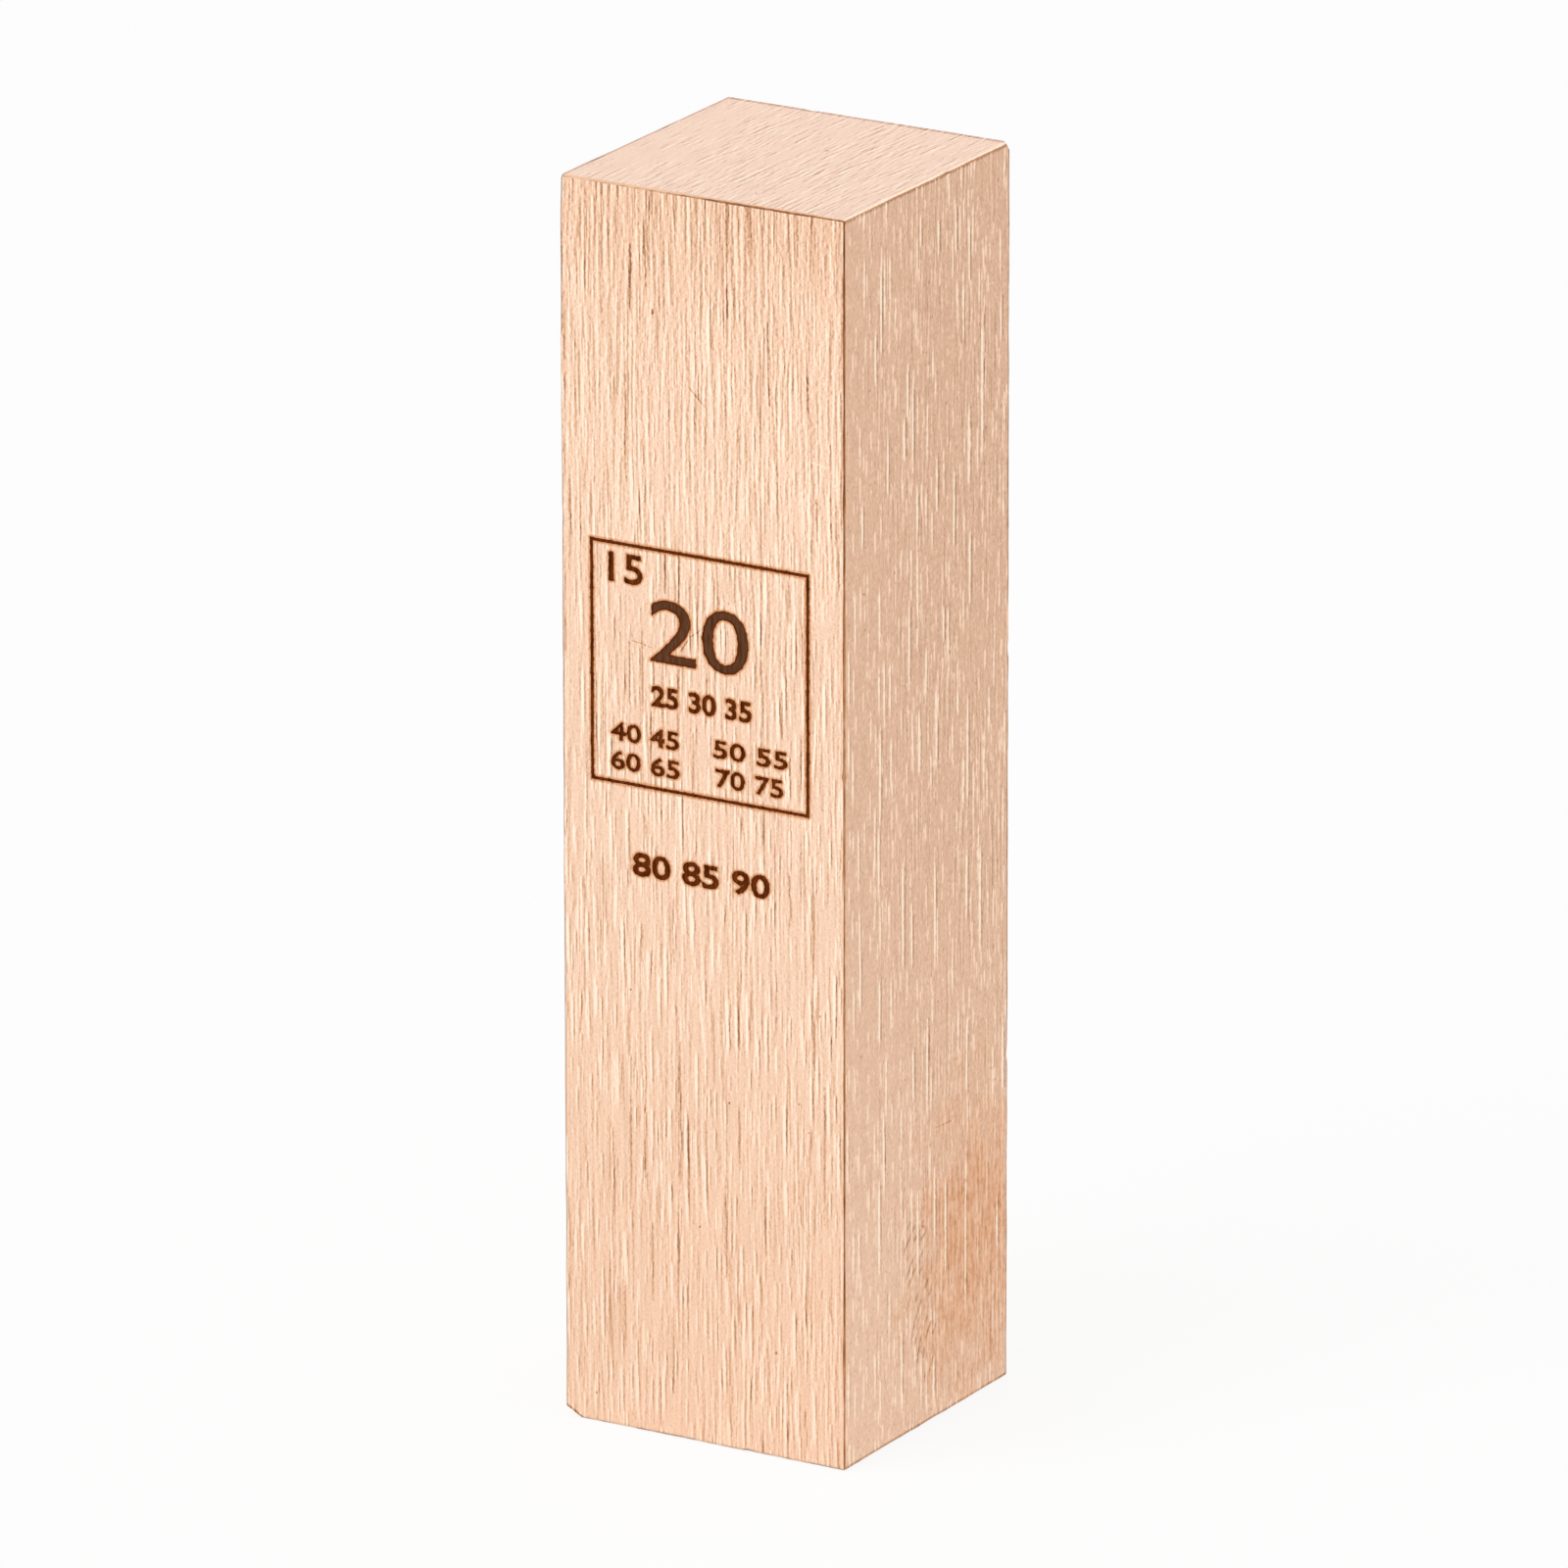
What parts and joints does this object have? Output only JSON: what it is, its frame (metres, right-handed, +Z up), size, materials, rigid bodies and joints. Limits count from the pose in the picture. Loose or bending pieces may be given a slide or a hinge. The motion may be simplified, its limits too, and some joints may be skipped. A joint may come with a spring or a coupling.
{
  "type": "copper bar",
  "caption": "Square bar of solid copper with brushed faces, broken edges and three worn corners, standing on one end as a desk weight or material sample.",
  "frame": {"origin": "centre of the lower end face, which the bar stands on", "axes": "+Z up the bar, +X along the marked front face to the right, +Y from the front face towards the back"},
  "size_m": [0.0254, 0.0254, 0.1016],
  "materials": {
    "copper": "satin"
  },
  "bodies": {
    "root": {"bar": "copper"}
  },
  "joints": []
}
